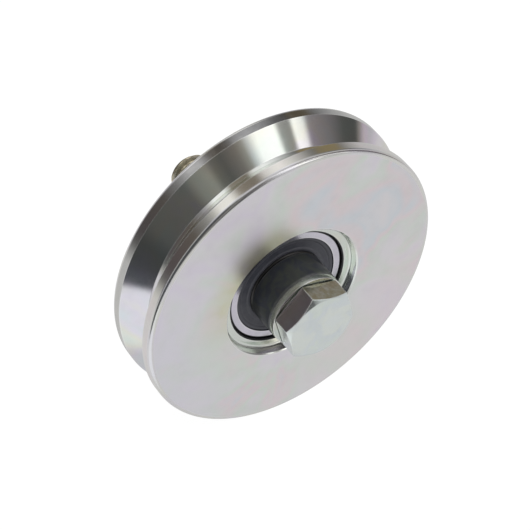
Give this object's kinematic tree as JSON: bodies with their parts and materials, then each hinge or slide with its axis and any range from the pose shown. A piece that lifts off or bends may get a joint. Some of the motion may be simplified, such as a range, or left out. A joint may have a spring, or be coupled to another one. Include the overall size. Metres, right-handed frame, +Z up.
{
  "type": "gate wheel",
  "caption": "V-groove sliding-gate wheel: turned steel sheave on a sealed ball bearing, carried on a hex-head axle bolt with spacers, washers and nut.",
  "frame": {"origin": "on the wheel's axis, in the mid-plane of the V groove", "axes": "+Y along the axle from the bolt head (front) to the threaded end (rear), +Z up, +X to the right seen from the front"},
  "size_m": [0.1, 0.0772, 0.1],
  "materials": {
    "zinc_plate": "bright zinc plate over fine turning, faint iridescence",
    "zinc_fastener": "bright zinc plate, slightly yellow-green",
    "bearing_steel": "ground bearing steel",
    "ball_steel": "polished bearing steel",
    "cage_steel": "pressed mild steel, oiled",
    "seal_rubber": "matt black nitrile rubber",
    "black_steel": "blackened steel, satin"
  },
  "bodies": {
    "axle": {"hex_bolt": "zinc_fastener", "head_washer": "zinc_fastener", "front_spacer": "black_steel", "bearing_inner_ring": "bearing_steel", "rear_spacer": "black_steel", "rear_washer": "zinc_fastener", "spring_washer": "zinc_fastener", "hex_nut": "zinc_fastener"},
    "wheel": {"wheel_sheave": "zinc_plate", "bearing_outer_ring": "bearing_steel", "front_seal": "seal_rubber", "front_seal_insert": "cage_steel", "rear_seal": "seal_rubber", "rear_seal_insert": "cage_steel"},
    "cage": {"cage_front_half": "cage_steel", "cage_rear_half": "cage_steel", "cage_rivets": "cage_steel"},
    "ball_1": {"ball_1": "ball_steel"},
    "ball_2": {"ball_2": "ball_steel"},
    "ball_3": {"ball_3": "ball_steel"},
    "ball_4": {"ball_4": "ball_steel"},
    "ball_5": {"ball_5": "ball_steel"},
    "ball_6": {"ball_6": "ball_steel"},
    "ball_7": {"ball_7": "ball_steel"},
    "ball_8": {"ball_8": "ball_steel"}
  },
  "joints": [
    {"name": "wheel_spin", "type": "hinge", "parent": "axle", "child": "wheel", "pos_m": [0, 0, 0], "axis": [0, 1, 0], "continuous": true},
    {"name": "cage_orbit", "type": "hinge", "parent": "axle", "child": "cage", "pos_m": [0, -0.00075, 0], "axis": [0, 1, 0], "continuous": true},
    {"name": "ball_1_spin", "type": "hinge", "parent": "cage", "child": "ball_1", "pos_m": [0, -0.00075, 0.01425], "axis": [0, 1, 0], "continuous": true},
    {"name": "ball_2_spin", "type": "hinge", "parent": "cage", "child": "ball_2", "pos_m": [0.01008, -0.00075, 0.01008], "axis": [0, 1, 0], "continuous": true},
    {"name": "ball_3_spin", "type": "hinge", "parent": "cage", "child": "ball_3", "pos_m": [0.01425, -0.00075, 0], "axis": [0, 1, 0], "continuous": true},
    {"name": "ball_4_spin", "type": "hinge", "parent": "cage", "child": "ball_4", "pos_m": [0.01008, -0.00075, -0.01008], "axis": [0, 1, 0], "continuous": true},
    {"name": "ball_5_spin", "type": "hinge", "parent": "cage", "child": "ball_5", "pos_m": [0, -0.00075, -0.01425], "axis": [0, 1, 0], "continuous": true},
    {"name": "ball_6_spin", "type": "hinge", "parent": "cage", "child": "ball_6", "pos_m": [-0.01008, -0.00075, -0.01008], "axis": [0, 1, 0], "continuous": true},
    {"name": "ball_7_spin", "type": "hinge", "parent": "cage", "child": "ball_7", "pos_m": [-0.01425, -0.00075, 0], "axis": [0, 1, 0], "continuous": true},
    {"name": "ball_8_spin", "type": "hinge", "parent": "cage", "child": "ball_8", "pos_m": [-0.01008, -0.00075, 0.01008], "axis": [0, 1, 0], "continuous": true}
  ],
  "couplings": [
    {"joint": "cage_orbit", "follows": "wheel_spin", "ratio": 0.61837},
    {"joint": "ball_1_spin", "follows": "wheel_spin", "ratio": 1.9937},
    {"joint": "ball_2_spin", "follows": "wheel_spin", "ratio": 1.9937},
    {"joint": "ball_3_spin", "follows": "wheel_spin", "ratio": 1.9937},
    {"joint": "ball_4_spin", "follows": "wheel_spin", "ratio": 1.9937},
    {"joint": "ball_5_spin", "follows": "wheel_spin", "ratio": 1.9937},
    {"joint": "ball_6_spin", "follows": "wheel_spin", "ratio": 1.9937},
    {"joint": "ball_7_spin", "follows": "wheel_spin", "ratio": 1.9937},
    {"joint": "ball_8_spin", "follows": "wheel_spin", "ratio": 1.9937}
  ]
}
